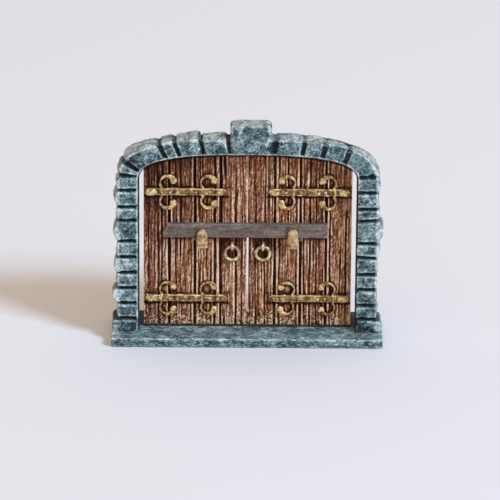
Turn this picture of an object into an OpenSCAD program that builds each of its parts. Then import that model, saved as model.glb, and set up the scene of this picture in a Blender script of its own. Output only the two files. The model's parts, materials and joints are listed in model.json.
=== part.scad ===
// Arched double gate on a stone base, a tabletop scenery piece for 28 mm figures.
// X runs along the gate, Z is up, and -Y is the side that carries the bar. The origin is the
// middle of the base's underside.

/* [Base] */
// Length of the base from side to side
base_length = 88; // [86:1:110]
// Depth of the base from front to back
base_depth = 27; // [22:1:40]
// Height of the base
base_height = 3.2; // [2.8:0.1:6]
// Chamfer along the base's upper edges
base_chamfer = 0.5; // [0.2:0.1:1]
// Tread in front of the stone posts
front_tread = 6.7; // [3:0.1:10]

/* [Stone frame] */
// Clear width of the doorway between the jambs
doorway_width = 70.8; // [60:0.2:72]
// Height of the doorway's crown above the base
doorway_height = 61.1; // [58:0.1:80]
// Rise of the doorway's curve from its spring to its crown
arch_rise = 9.3; // [7:0.1:12]
// Power of the doorway's curve, 2 for an ellipse and more for a flatter crown
arch_power = 2.8; // [2.4:0.1:4]
// Thickness of the stone ring at its crown
ring_thickness = 4.7; // [3.5:0.1:8]
// Rise of the outer curve from its spring to its crown
outer_rise = 19; // [14:0.5:24]
// Power of the outer curve
outer_power = 3.5; // [2.5:0.1:4]
// Width of a post's front
post_width = 6.4; // [5:0.1:7]
// Depth of the frame from front to back
frame_depth = 8.1; // [7:0.1:12]
// Depth of the wide rear part of each post
rear_depth = 4.6; // [3:0.1:6]
// Height of the keystone's top above the ring's crown
keystone_lift = 4; // [1:0.1:6]
// How far the keystone stands proud of the ring's front
keystone_proud = 0.4; // [0.1:0.1:1]
// Width of the joints between stones
joint_width = 1; // [0.6:0.1:1.4]
// Depth of the joints between stones
joint_depth = 0.6; // [0.3:0.1:1]
// Diameter of the spigot under each post
spigot_diameter = 3; // [2:0.1:4]
// Length of the spigot under each post
spigot_length = 1.5; // [1:0.1:2]
// Gap all round the spigot in its socket
spigot_gap = 0.1; // [0.05:0.05:0.3]

/* [Leaves] */
// Thickness of a leaf
leaf_thickness = 2.2; // [1.8:0.1:2.4]
// Distance from the frame's front to the leaf's front
leaf_setback = 5.5; // [5.2:0.1:6]
// Gap between a leaf and its jamb
side_gap = 1.7; // [1.5:0.1:2.5]
// Gap between the two leaves
centre_gap = 1; // [0.4:0.1:2]
// Gap between a leaf and the base
foot_gap = 0.3; // [0.2:0.05:1]
// Gap between a leaf's top and the arch
top_gap = 1.1; // [0.9:0.1:2]
// Power of the curve along a leaf's top, lower than the doorway's so that its shoulder clears
leaf_power = 2.4; // [2:0.1:2.5]
// Distance from a leaf's outer edge to the spring of its top curve
leaf_shoulder = 0.6; // [0.3:0.1:0.8]
// Number of planks in a leaf
plank_count = 4; // [2:1:6]
// Width of the gap between planks
groove_width = 0.6; // [0.3:0.1:1]
// Depth of the gap between planks
groove_depth = 0.6; // [0.2:0.1:0.8]

/* [Pivots] */
// Diameter of a pivot pin
pin_diameter = 1; // [0.8:0.1:1.2]
// Length of a pin inside the leaf
pin_in_leaf = 3; // [2:0.1:5]
// Length of a pin inside the stone
pin_in_stone = 1.9; // [1:0.1:2]
// Gap all round a pin in its stone bore
pin_gap = 0.05; // [0.02:0.01:0.1]
// Depth of a bore beyond its pin's end
bore_spare = 0.2; // [0.1:0.1:0.4]
// Distance from the leaf's outer edge to the pivot axis
pivot_inset = 1.1; // [1:0.1:1.4]

/* [Strap hinges] */
// Length of a strap
strap_length = 26.6; // [24:0.1:28]
// Height of a strap
strap_height = 3; // [2:0.1:4]
// Thickness of a strap
strap_thickness = 0.7; // [0.4:0.1:0.8]
// Distance from the leaf's outer edge to the strap's end
strap_inset = 0.4; // [0.2:0.1:1]
// Height of the lower straps' middle above the base
lower_strap_height = 9.8; // [8:0.1:14]
// Height of the upper straps' middle above the base
upper_strap_height = 46.4; // [46.4:0.1:48]
// Mean radius of a scroll's arm
scroll_radius = 2.3; // [2:0.1:2.5]
// Width of a scroll's arm
scroll_width = 0.8; // [0.6:0.1:1]
// Radius of the ball at a scroll's end
ball_radius = 0.95; // [0.6:0.05:1.1]
// Height of a scroll's centre above the middle of the strap
scroll_rise = 3; // [2.8:0.1:3.1]
// Distance from the strap's outer end to each scroll's centre
scroll_places = [7.1, 20.4];
// How far the scrolls stand proud of the leaf
scroll_thickness = 0.9; // [0.5:0.1:1]

/* [Bar and hooks] */
// Length of the bar along its underside
bar_length = 53.4; // [46:0.2:56]
// Height of the bar
bar_height = 4.8; // [3.5:0.1:4.8]
// Thickness of the bar
bar_thickness = 2.2; // [1.5:0.1:2.6]
// Slope of the bar's cut end, along the bar
bar_bevel = 1.8; // [0.4:0.1:4]
// How far the bar's middle lies to the left of the gate's middle
bar_shift = 0.7; // [0:0.1:1.5]
// Height of the bar's underside above the base
bar_rest_height = 31.3; // [31:0.1:31.5]
// Gap between the bar and the leaves behind it
bar_back_gap = 0.3; // [0.3:0.05:0.6]
// Gap between the bar and the hooks' front plates
bar_front_gap = 0.2; // [0.1:0.05:0.4]
// Gap between the bar and the hooks' shelves
bar_rest_gap = 0.05; // [0.03:0.01:0.1]
// Distance from the gate's middle to each hook
hook_place = 14.7; // [12:0.1:16]
// Width of a hook
hook_width = 3.3; // [2.5:0.1:4]
// Thickness of a hook's front plate
hook_plate = 0.9; // [0.5:0.1:1.2]
// Thickness of a hook's shelf
hook_shelf = 0.9; // [0.6:0.1:1.2]
// Height of a hook's front plate above the bar's underside
hook_grip = 3.3; // [2:0.1:3.4]
// Depth of a hook's front plate below the bar's underside
hook_drop = 3.1; // [1.5:0.1:3.3]
// Thickness of a hook's back plate
hook_back = 0.5; // [0.3:0.1:0.8]

/* [Pull rings] */
// Distance from the gate's middle to each ring
ring_place = 5; // [4:0.1:7]
// Height of a ring's pivot above the base
ring_pivot_height = 27.9; // [20:0.1:28]
// Mean radius of a ring
ring_radius = 2.38; // [2:0.02:3]
// Diameter of a ring's wire
ring_wire = 0.84; // [0.6:0.02:0.9]
// Distance from the leaf to a ring's middle plane
ring_stand_off = 0.85; // [0.8:0.05:1.2]
// Mean radius of a staple's bow
staple_radius = 1.15; // [1.1:0.05:1.3]
// Diameter of a staple's wire
staple_wire = 0.8; // [0.6:0.05:0.8]

/* [Hidden] */
$fn = 48;

LEFT = -1;
RIGHT = 1;

// Levels
base_top = base_height;
crown_z = base_top + doorway_height;
spring_z = crown_z - arch_rise;
outer_crown_z = crown_z + ring_thickness;
outer_spring_z = outer_crown_z - outer_rise;
keystone_top_z = outer_crown_z + keystone_lift;

// Half widths
jamb_x = doorway_width / 2;
post_x = jamb_x + post_width;
outer_x = post_x + 0.7;

// Front and back faces
front_y = -base_depth / 2 + front_tread;
back_y = front_y + frame_depth;
leaf_front_y = front_y + leaf_setback;
leaf_back_y = leaf_front_y + leaf_thickness;

// Leaf edges and the pivot axis
leaf_edge_x = jamb_x - side_gap;
leaf_inner_x = centre_gap / 2;
leaf_width = leaf_edge_x - leaf_inner_x;
leaf_foot_z = base_top + foot_gap;
pivot_x = leaf_edge_x - pivot_inset;
pivot_y = leaf_front_y + 0.6 * leaf_thickness;

// Tops of the mortar joints in each post, as heights above the base
left_courses = [0, 4.4, 9.8, 15, 20.2, 25.6, 31, 38.2, 42.8, 48.4];
right_courses = [0, 4.6, 9.3, 14.8, 20, 26, 30.7, 38, 42.3, 48];
springer_height = 53.4;

// Joints of the arch, each as its inner and its outer end along X
arch_joints = [[-34.2, -41], [-26.2, -28.8], [-21.8, -23.9], [-14.1, -15.4], [-5.8, -6.4],
               [8, 9.2], [18.3, 19.2], [24.6, 26], [32.3, 34.2]];
keystone_joint = 4;
keystone_foot = [-4.9, 6.8];
keystone_head = [-5.6, 8.1];
arch_steps = 6;

// Height of a flattened arch at x, from its half width, spring, rise and power.
function arch_z(x, half, spring, rise, power) =
    spring + rise * pow(max(0, 1 - pow(min(1, abs(x) / half), power)), 1 / power);
function soffit_z(x) = arch_z(x, jamb_x, spring_z, arch_rise, arch_power);
function outer_z(x) = arch_z(x, outer_x, outer_spring_z, outer_rise, outer_power);
function leaf_top_z(x) =
    arch_z(x, leaf_edge_x + leaf_shoulder, spring_z, arch_rise - top_gap, leaf_power);

// Half width of the same arch at height z.
function arch_x(z, half, spring, rise, power) =
    half * pow(max(0, 1 - pow(max(0, (z - spring) / rise), power)), 1 / power);

// A number from 0 to 1 that looks random but depends only on i.
function chance(i) = let (s = 1000 * sin(i * 127.1 + 31)) s - floor(s);

function mix(a, b, t) = a + (b - a) * t;

// A plate with its outline in X and Z, from y0 back to y1.
module plate(outline, y0, y1) {
    translate([0, y1, 0])
        rotate([90, 0, 0])
            linear_extrude(y1 - y0)
                polygon(outline);
}

// A block given by its two opposite corners.
module block(low, high) {
    translate(low)
        cube(high - low);
}

// A cylinder along Y from y0 back to y1.
module dowel_y(x, z, y0, y1, radius) {
    translate([x, y1, z])
        rotate([90, 0, 0])
            cylinder(h = y1 - y0, r = radius);
}

// Spigot, or its socket when grown by a gap.
module spigot(side, gap) {
    spigot_x = side * (jamb_x + post_width / 2);
    translate([spigot_x, (front_y + back_y) / 2, base_top - spigot_length - gap])
        cylinder(h = spigot_length + gap, d = spigot_diameter + 2 * gap);
}

module base_sill() {
    half = base_depth / 2;
    top = base_top;
    profile = [[-half, 0], [half, 0], [half, top - base_chamfer], [half - base_chamfer, top],
               [-half + base_chamfer, top], [-half, top - base_chamfer]];
    color("slategray")
        difference() {
            translate([-base_length / 2, 0, 0])
                rotate([90, 0, 90])
                    linear_extrude(base_length)
                        polygon(profile);
            for (side = [LEFT, RIGHT]) {
                spigot(side, spigot_gap);
                bore_bottom = base_top - pin_in_stone + foot_gap - bore_spare;
                translate([side * pivot_x, pivot_y, bore_bottom])
                    cylinder(h = base_top - bore_bottom + 1, d = pin_diameter + 2 * pin_gap);
            }
        }
}

// One voussoir between joints a and b, each given as [inner x, outer x].
module voussoir(a, b, proud) {
    half = joint_width / 2;
    inner = [for (i = [0:arch_steps])
        let (x = mix(a[0] + half, b[0] - half, i / arch_steps)) [x, soffit_z(x)]];
    outer = [for (i = [arch_steps:-1:0])
        let (x = mix(a[1] + half, b[1] - half, i / arch_steps)) [x, outer_z(x) + proud]];
    plate(concat(inner, outer), front_y - proud, back_y);
}

// The stone that turns the corner, from the top of the post up to a joint of the arch.
module springer(side, joint) {
    foot_z = base_top + springer_height + joint_width / 2;
    inner_x = abs(joint[0]) + joint_width / 2;
    far_x = abs(joint[1]) + joint_width / 2;
    inner = [for (i = [0:arch_steps])
        let (z = mix(foot_z, soffit_z(min(inner_x, jamb_x)), i / arch_steps))
            [side * arch_x(z, jamb_x, spring_z, arch_rise, arch_power), z]];
    outer = [for (i = [arch_steps:-1:0])
        let (z = mix(foot_z, outer_z(min(far_x, outer_x)), i / arch_steps))
            [side * arch_x(z, outer_x, outer_spring_z, outer_rise, outer_power), z]];
    plate(concat(inner, outer), front_y, back_y);
}

// The courses of one post: a narrow front and a wider, uneven rear part.
module post(side, courses) {
    tops = concat([for (i = [1:len(courses) - 1]) courses[i]], [springer_height]);
    for (i = [0:len(courses) - 1]) {
        low_z = base_top + (i == 0 ? 0 : courses[i] + joint_width / 2);
        high_z = base_top + tops[i] - joint_width / 2;
        flare = i == 0 ? 0.9 : 0;
        front_x = post_x + flare + 0.4 * chance(i + 3 * side);
        rear_x = min(post_x + 0.5 + flare + 1.1 * chance(i + 5 * side + 20), base_length / 2);
        proud = 0.2 * chance(i + 7 * side + 40);
        xs = side > 0 ? [jamb_x, front_x, rear_x] : [-front_x, -jamb_x, -rear_x];
        block([xs[0], front_y - proud, low_z], [xs[1], back_y, high_z]);
        block([min(xs[2], side * jamb_x), back_y - rear_depth, low_z],
              [max(xs[2], side * jamb_x), back_y, high_z]);
    }
}

// The recessed stone behind the joints.
module frame_core() {
    inner_x = jamb_x + joint_depth;
    spring = spring_z;
    rise = arch_rise + joint_depth;
    steps = 40;
    inner = [for (i = [0:steps])
        let (a = 180 * i / steps)
            [inner_x * sign(cos(a)) * pow(abs(cos(a)), 2 / arch_power),
             spring + rise * pow(sin(a), 2 / arch_power)]];
    far = outer_x - joint_depth;
    far_rise = outer_rise - joint_depth;
    outer = [for (i = [0:steps])
        let (a = 180 - 180 * i / steps)
            [far * sign(cos(a)) * pow(abs(cos(a)), 2 / outer_power),
             outer_spring_z + far_rise * pow(sin(a), 2 / outer_power)]];
    outline = concat([[inner_x, base_top]], inner, [[-inner_x, base_top]],
                     [[-post_x + joint_depth, base_top]],
                     [[-post_x + joint_depth, outer_spring_z]],
                     outer,
                     [[post_x - joint_depth, outer_spring_z]],
                     [[post_x - joint_depth, base_top]]);
    plate(outline, front_y + joint_depth, back_y - joint_depth);
}

module keystone() {
    outline = [[keystone_foot[0], crown_z], [keystone_foot[1], crown_z],
               [keystone_head[1], keystone_top_z], [keystone_head[0], keystone_top_z]];
    plate(outline, front_y - keystone_proud, back_y);
}

module stone_arch() {
    last = len(arch_joints) - 1;
    color("lightslategray")
        difference() {
            union() {
                frame_core();
                keystone();
                post(LEFT, left_courses);
                post(RIGHT, right_courses);
                springer(LEFT, arch_joints[0]);
                springer(RIGHT, arch_joints[last]);
                for (i = [0:last - 1])
                    if (i != keystone_joint)
                        voussoir(arch_joints[i], arch_joints[i + 1], 0.2 * chance(i + 60));
                spigot(LEFT, 0);
                spigot(RIGHT, 0);
            }
            for (side = [LEFT, RIGHT]) {
                bore_low = leaf_top_z(pivot_x);
                bore_high = soffit_z(pivot_x) + pin_in_stone + bore_spare;
                translate([side * pivot_x, pivot_y, bore_low])
                    cylinder(h = bore_high - bore_low, d = pin_diameter + 2 * pin_gap);
            }
        }
}

// A planked leaf with gaps between its planks on both faces.
module leaf(side) {
    steps = 24;
    top = [for (i = [0:steps])
        let (x = mix(leaf_inner_x, leaf_edge_x, 1 - pow(1 - i / steps, 2)))
            [side * x, leaf_top_z(x)]];
    outline = concat([[side * leaf_edge_x, leaf_foot_z], [side * leaf_inner_x, leaf_foot_z]], top);
    plank = leaf_width / plank_count;
    color("saddlebrown")
        difference() {
            plate(outline, leaf_front_y, leaf_back_y);
            for (i = [1:plank_count - 1]) {
                groove_x = side * (leaf_inner_x + i * plank);
                for (y = [leaf_front_y, leaf_back_y])
                    block([groove_x - groove_width / 2, y - groove_depth, leaf_foot_z - 1],
                          [groove_x + groove_width / 2, y + groove_depth, crown_z + 1]);
            }
            translate([side * pivot_x, pivot_y, leaf_foot_z - 1])
                cylinder(h = pin_in_leaf + 1, d = pin_diameter);
            translate([side * pivot_x, pivot_y, leaf_top_z(pivot_x) - pin_in_leaf])
                cylinder(h = pin_in_leaf + 2, d = pin_diameter);
        }
}

module upper_pin(side) {
    low_z = leaf_top_z(pivot_x) - pin_in_leaf;
    high_z = soffit_z(pivot_x) + pin_in_stone;
    color("goldenrod")
        translate([side * pivot_x, pivot_y, low_z])
            cylinder(h = high_z - low_z, d = pin_diameter);
}

module lower_pin(side) {
    low_z = base_top - pin_in_stone + foot_gap;
    color("goldenrod")
        translate([side * pivot_x, pivot_y, low_z])
            cylinder(h = leaf_foot_z + pin_in_leaf - low_z, d = pin_diameter);
}

// One arm of a scroll: an arc that ends in a ball. It curls up, or down when lift is -1.
module scroll_arm(x, z, side, lift) {
    start = 35;
    sweep = 185;
    thick = scroll_thickness;
    translate([x, leaf_front_y, z + lift * scroll_rise])
        mirror([side > 0 ? 1 : 0, 0, 0])
            mirror([0, 0, lift > 0 ? 0 : 1])
                rotate([90, 0, 0]) {
                    rotate([0, 0, start])
                        rotate_extrude(angle = sweep)
                            translate([scroll_radius - scroll_width / 2, 0])
                                square([scroll_width, thick]);
                    translate([scroll_radius * cos(start), scroll_radius * sin(start), 0])
                        cylinder(h = thick, r = ball_radius);
                }
}

// A strap with a pointed inner end and two scrolls on each side.
module strap(side, height) {
    z = base_top + height;
    half = strap_height / 2;
    outer_end = leaf_edge_x - strap_inset;
    inner_end = outer_end - strap_length;
    point = 1.6;
    outline = [[side * outer_end, z - half], [side * outer_end, z + half],
               [side * (inner_end + point), z + half], [side * inner_end, z],
               [side * (inner_end + point), z - half]];
    color("darkgoldenrod")
        union() {
            plate(outline, leaf_front_y - strap_thickness, leaf_front_y);
            for (place = scroll_places)
                for (lift = [-1, 1])
                    scroll_arm(side * (outer_end - place), z, side, lift);
        }
}

// Levels and faces of the bar in its hooks
bar_low_z = base_top + bar_rest_height;
bar_high_z = bar_low_z + bar_height;
bar_back_y = leaf_front_y - bar_back_gap;
bar_front_y = bar_back_y - bar_thickness;
hook_inner_y = bar_front_y - bar_front_gap;
shelf_top_z = bar_low_z - bar_rest_gap;

module locking_bar() {
    left_x = -bar_shift - bar_length / 2;
    right_x = left_x + bar_length;
    outline = [[left_x, bar_low_z], [right_x, bar_low_z],
               [right_x, bar_high_z], [left_x + bar_bevel, bar_high_z]];
    color("dimgray")
        plate(outline, bar_front_y, bar_back_y);
}

// A hook: back plate with side prongs, a shelf under the bar, and a pointed front plate.
module bar_hook(side) {
    x = side * hook_place;
    half = hook_width / 2;
    shoulder = 1;
    foot_z = bar_low_z - hook_drop;
    tip_z = bar_low_z + hook_grip;
    back_half = half + 0.4;
    prong_z = shelf_top_z - hook_shelf - 0.4;
    prong_reach = back_half + 1.3;
    prong_radius = 0.35;
    color("darkkhaki")
        union() {
            plate([[x - half, foot_z], [x + half, foot_z], [x + half, tip_z - shoulder],
                   [x, tip_z], [x - half, tip_z - shoulder]],
                  hook_inner_y - hook_plate, hook_inner_y);
            block([x - half, hook_inner_y - hook_plate, shelf_top_z - hook_shelf],
                  [x + half, leaf_front_y, shelf_top_z]);
            block([x - back_half, leaf_front_y - hook_back, foot_z + 0.3],
                  [x + back_half, leaf_front_y, shelf_top_z]);
            translate([x - prong_reach, leaf_front_y - prong_radius, prong_z])
                rotate([0, 90, 0])
                    cylinder(h = 2 * prong_reach, r = prong_radius);
        }
}

// Ring and staple share the pivot that the ring swings on.
ring_pivot_z = base_top + ring_pivot_height;
ring_y = leaf_front_y - ring_stand_off;

module pull_ring(side) {
    color("burlywood")
        translate([side * ring_place, ring_y, ring_pivot_z - ring_radius])
            rotate([90, 0, 0])
                rotate_extrude()
                    translate([ring_radius, 0])
                        circle(d = ring_wire);
}

// A bow of wire round the top of the ring, with two legs that meet the leaf.
module ring_staple(side) {
    x = side * ring_place;
    color("tan")
        union() {
            translate([x, ring_y, ring_pivot_z])
                rotate([0, 90, 0])
                    rotate([0, 0, 180])
                        rotate_extrude(angle = 180)
                            translate([staple_radius, 0])
                                circle(d = staple_wire);
            for (lift = [-1, 1])
                dowel_y(x, ring_pivot_z + lift * staple_radius, ring_y, leaf_front_y,
                        staple_wire / 2);
        }
}

base_sill();
stone_arch();
leaf(LEFT);  // left_leaf
strap(LEFT, upper_strap_height);  // left_upper_strap
strap(LEFT, lower_strap_height);  // left_lower_strap
bar_hook(LEFT);  // left_bar_hook
ring_staple(LEFT);  // left_ring_staple
pull_ring(LEFT);  // left_pull_ring
upper_pin(LEFT);  // left_upper_pin
lower_pin(LEFT);  // left_lower_pin
leaf(RIGHT);  // right_leaf
strap(RIGHT, upper_strap_height);  // right_upper_strap
strap(RIGHT, lower_strap_height);  // right_lower_strap
bar_hook(RIGHT);  // right_bar_hook
ring_staple(RIGHT);  // right_ring_staple
pull_ring(RIGHT);  // right_pull_ring
upper_pin(RIGHT);  // right_upper_pin
lower_pin(RIGHT);  // right_lower_pin
locking_bar();
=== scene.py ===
# %% [markdown]
# # A hand-painted miniature gate
# The gate is a tabletop model: a stone frame and base painted slate blue and dry-brushed with pale
# grey, two planked leaves, and fittings in antique gold. Construction, joints and sizes come from
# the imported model. This script adds the sculpted surfaces and the paint.

# %% Load the frame
import json
import math
import bpy
import numpy as np
from mathutils import Matrix, Vector

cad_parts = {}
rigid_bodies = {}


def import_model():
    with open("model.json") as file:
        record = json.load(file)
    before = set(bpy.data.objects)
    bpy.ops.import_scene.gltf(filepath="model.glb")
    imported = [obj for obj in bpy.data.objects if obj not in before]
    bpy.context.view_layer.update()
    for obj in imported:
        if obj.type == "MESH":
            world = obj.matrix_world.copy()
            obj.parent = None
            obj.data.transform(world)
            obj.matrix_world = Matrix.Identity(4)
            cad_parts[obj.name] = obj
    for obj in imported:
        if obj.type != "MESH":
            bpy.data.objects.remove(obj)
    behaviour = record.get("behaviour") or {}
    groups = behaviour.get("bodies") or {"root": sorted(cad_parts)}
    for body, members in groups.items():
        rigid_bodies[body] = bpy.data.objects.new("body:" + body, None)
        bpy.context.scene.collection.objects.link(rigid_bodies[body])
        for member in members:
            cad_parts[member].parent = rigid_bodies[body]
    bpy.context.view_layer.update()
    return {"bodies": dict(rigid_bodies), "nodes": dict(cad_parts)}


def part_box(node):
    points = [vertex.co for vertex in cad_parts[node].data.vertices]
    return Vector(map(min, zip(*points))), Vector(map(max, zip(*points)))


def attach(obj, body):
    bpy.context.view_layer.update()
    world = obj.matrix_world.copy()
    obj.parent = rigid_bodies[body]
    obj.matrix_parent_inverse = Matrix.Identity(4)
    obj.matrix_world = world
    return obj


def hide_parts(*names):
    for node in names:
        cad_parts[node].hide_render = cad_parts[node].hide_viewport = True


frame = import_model()
MM = 0.001
print("bodies:", ", ".join(frame["bodies"]), "| CAD nodes:", len(frame["nodes"]))

# %% [markdown]
# ## Sizes
# The shapes below are worked out in millimetres. Every place that another piece depends on is read
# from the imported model's boxes, so a sculpted piece sits exactly where its CAD piece is. A few values
# that a box can't tell, such as the power of the arch's curve, are named here.

# %% Places read from the frame
def box_mm(node):
    """The lowest and highest corner of a CAD node, in millimetres."""
    low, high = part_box(node)
    return np.array(low) / MM, np.array(high) / MM


BASE_LOW, BASE_HIGH = box_mm("base_sill")
ARCH_LOW, ARCH_HIGH = box_mm("stone_arch")
LEAF_LOW, LEAF_HIGH = box_mm("left_leaf")
BAR_LOW, BAR_HIGH = box_mm("locking_bar")
BASE_TOP = BASE_HIGH[2]
LEAF_FRONT, LEAF_BACK = LEAF_LOW[1], LEAF_HIGH[1]
LEAF_EDGE, LEAF_INNER = -LEAF_LOW[0], -LEAF_HIGH[0]
FRAME_BACK = ARCH_HIGH[1]
FRAME_DEPTH, SIDE_GAP, POST_WIDTH = 8.1, 1.7, 6.4
DOORWAY_HEIGHT, RING_WIDTH = 61.1, 4.7
FRAME_FRONT = FRAME_BACK - FRAME_DEPTH
JAMB = LEAF_EDGE + SIDE_GAP
POST = JAMB + POST_WIDTH
CROWN = BASE_TOP + DOORWAY_HEIGHT
ARCH_RISE, ARCH_POWER = 9.3, 2.8
SPRING = CROWN - ARCH_RISE
RING_TOP = CROWN + RING_WIDTH
OUTER_RISE, OUTER_POWER = 19.0, 3.5
LEAF_POWER = 2.4
print(f"jamb at {JAMB:.1f} mm, crown at {CROWN:.1f} mm")
print(f"frame from {FRAME_FRONT:.1f} to {FRAME_BACK:.1f} mm")

# %% [markdown]
# ## Noise for rough surfaces
# Rough stone and worn wood need irregular but repeatable shapes. Value noise does this: a number is
# worked out for each corner of a grid of cells by scrambling its whole-number place, and smoothly
# blended inside the cell. Blender's own noise could do it in a displacement modifier, but here the
# same numbers also tell the paint where the high spots are.

# %% Value noise
def noise(points, size, seed=0):
    """Value noise from -1 to 1. size is the cell, one number or one for each axis."""
    place = points / np.asarray(size, float)
    cell = np.floor(place).astype(np.int64)
    part = place - cell
    part = part * part * (3 - 2 * part)

    def corner(x, y, z):
        key = (cell[..., 0] + x) * 374761393 + (cell[..., 1] + y) * 668265263
        key = key + (cell[..., 2] + z) * 1440662683 + seed * 1013904223
        key = (key ^ (key >> 13)) * 1274126177
        return ((key ^ (key >> 16)) & 0xFFFF) / 32767.5 - 1

    def along_x(y, z):
        return corner(0, y, z) * (1 - part[..., 0]) + corner(1, y, z) * part[..., 0]

    def along_y(z):
        return along_x(0, z) * (1 - part[..., 1]) + along_x(1, z) * part[..., 1]

    return along_y(0) * (1 - part[..., 2]) + along_y(1) * part[..., 2]


def rough(points, size, octaves=3, seed=0):
    """Layers of noise, each half the size and half the height of the one before."""
    total = np.zeros(points.shape[:-1])
    for octave in range(octaves):
        total += noise(points, np.asarray(size, float) / 2**octave, seed + 7 * octave) / 2**octave
    return total / 2


def chance(index, seed=0):
    """A repeatable number from 0 to 1 for each whole number."""
    value = np.sin(np.asarray(index, float) * 127.1 + seed * 311.7) * 43758.5453
    return value - np.floor(value)


def smooth(value, low, high):
    """0 below low, 1 above high, with a soft step between them."""
    part = np.clip((value - low) / (high - low), 0, 1)
    return part * part * (3 - 2 * part)


def hump(value, width, power=2):
    """1 where value is 0, fading to 0 past width. A higher power flattens its top."""
    return np.exp(-((value / width) ** power))


print("noise at the origin:", round(float(noise(np.zeros((1, 3)), 1.0)[0]), 3))

# %% [markdown]
# ## From a grid of points to a closed piece
# Most pieces here are a closed outline carried along a path: a ring of points for each place along
# the way. Neighbouring rings are joined by quads, and each end is closed by a ladder of quads that
# joins opposite points of the last ring. The signed volume tells if the faces point inwards, and
# then they are turned round.

# %% Lofting
def grid(x, y, z):
    """Points from three coordinates, each spread over the whole grid."""
    return np.stack(np.broadcast_arrays(x, y, z), -1)


def loft(rings, wrap=False):
    """Points and quads of rings joined in order. rings has the shape (rings, points, 3)."""
    count, around = rings.shape[:2]
    index = np.arange(count * around).reshape(count, around)
    ahead = np.roll(index, -1, axis=0) if wrap else index[1:]
    here = index if wrap else index[:-1]
    quads = [np.stack([here, np.roll(here, -1, 1), np.roll(ahead, -1, 1), ahead], -1).reshape(-1, 4)]
    if not wrap:
        step = np.arange(around // 2 - 1)
        for ring, turned in ((index[0], True), (index[-1], False)):
            far = around - 1 - step
            cap = np.stack([ring[step], ring[step + 1], ring[far - 1], ring[far]], -1)
            quads.append(cap[:, ::-1] if turned else cap)
    points, quads = rings.reshape(-1, 3), np.concatenate(quads)
    a, b, c, d = (points[quads[:, k]] for k in range(4))
    volume = np.einsum("ij,ij->", a, np.cross(b, c)) + np.einsum("ij,ij->", a, np.cross(c, d))
    return points, quads if volume > 0 else quads[:, ::-1]


def shaped(rings, relief, wrap=False, **others):
    """A loft with its painting values: relief, kept from 0 to 1, and any others by name."""
    points, quads = loft(rings, wrap)
    values = {"relief": np.clip(relief, 0, 1), **others}
    return points, quads, {key: np.ravel(value) for key, value in values.items()}


def square_loop(along_a, along_b, power):
    """A rounded square of half side 1: the border of a square drawn in to a superellipse."""
    a = np.linspace(-1, 1, along_a, endpoint=False)
    b = np.linspace(-1, 1, along_b, endpoint=False)
    one_a, one_b = np.ones(along_a), np.ones(along_b)
    border = np.concatenate([np.stack([a, -one_a], 1), np.stack([one_b, b], 1),
                             np.stack([-a, one_a], 1), np.stack([-one_b, -b], 1)])
    reach = (np.abs(border) ** power).sum(1, keepdims=True) ** (1 / power)
    return border / reach


def loop_normals(loop, power):
    """The outward directions of a superellipse, from the slope of its equation."""
    slope = np.sign(loop) * np.abs(loop) ** (power - 1)
    return slope / np.linalg.norm(slope, axis=1, keepdims=True)


def joined(shapes):
    """Several (points, quads, values) as one."""
    starts = np.cumsum([0] + [len(s[0]) for s in shapes[:-1]])
    points = np.concatenate([s[0] for s in shapes])
    quads = np.concatenate([s[1] + start for s, start in zip(shapes, starts)])
    names = [k for k in shapes[0][2] if all(k in s[2] for s in shapes)]
    return points, quads, {k: np.concatenate([s[2][k] for s in shapes]) for k in names}


def make_piece(name, shape, body, replaced, material):
    """Puts a shape in millimetres into a mesh in metres, rides it on its body and paints it."""
    points, quads, values = shape
    mesh = bpy.data.meshes.new(name)
    mesh.vertices.add(len(points))
    mesh.vertices.foreach_set("co", (points * MM).astype(np.float32).ravel())
    mesh.loops.add(quads.size)
    mesh.loops.foreach_set("vertex_index", quads.astype(np.int32).ravel())
    mesh.polygons.add(len(quads))
    mesh.polygons.foreach_set("loop_start", np.arange(0, quads.size, 4, dtype=np.int32))
    mesh.update(calc_edges=True)
    mesh.validate()
    mesh.shade_smooth()
    for key, value in values.items():
        layer = mesh.attributes.new(key, "FLOAT", "POINT")
        layer.data.foreach_set("value", np.asarray(value, np.float32).ravel())
    mesh.materials.append(material)
    piece = bpy.data.objects.new(name, mesh)
    bpy.context.scene.collection.objects.link(piece)
    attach(piece, body)
    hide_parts(replaced)
    print(f"{name}: {len(quads)} quads on {body}")
    return piece


# %% [markdown]
# ## Paint
# Dry-brushing drags a nearly dry brush over a dark base, so only the high spots take the pale paint.
# The shapes store how high each point stands in an attribute named relief; on the frame, the base,
# the leaves and the bar it also carries painted shade where shadows fall, and on the left leaf's
# meeting edge and the hooks' tips painted highlights. The material adds fine noise to it, and a
# colour ramp turns the sum into dark recess, base colour and pale highlight.
# The same noise also drives the bump, so that each painted stroke has its own small ridge.

# %% Material helpers
def paint_colour(red, green, blue):
    """A colour from 0 to 255 as it is seen, made linear for a shader socket."""
    seen = np.array([red, green, blue]) / 255
    linear = np.where(seen <= 0.04045, seen / 12.92, ((seen + 0.055) / 1.055) ** 2.4)
    return (*linear.tolist(), 1.0)


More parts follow.
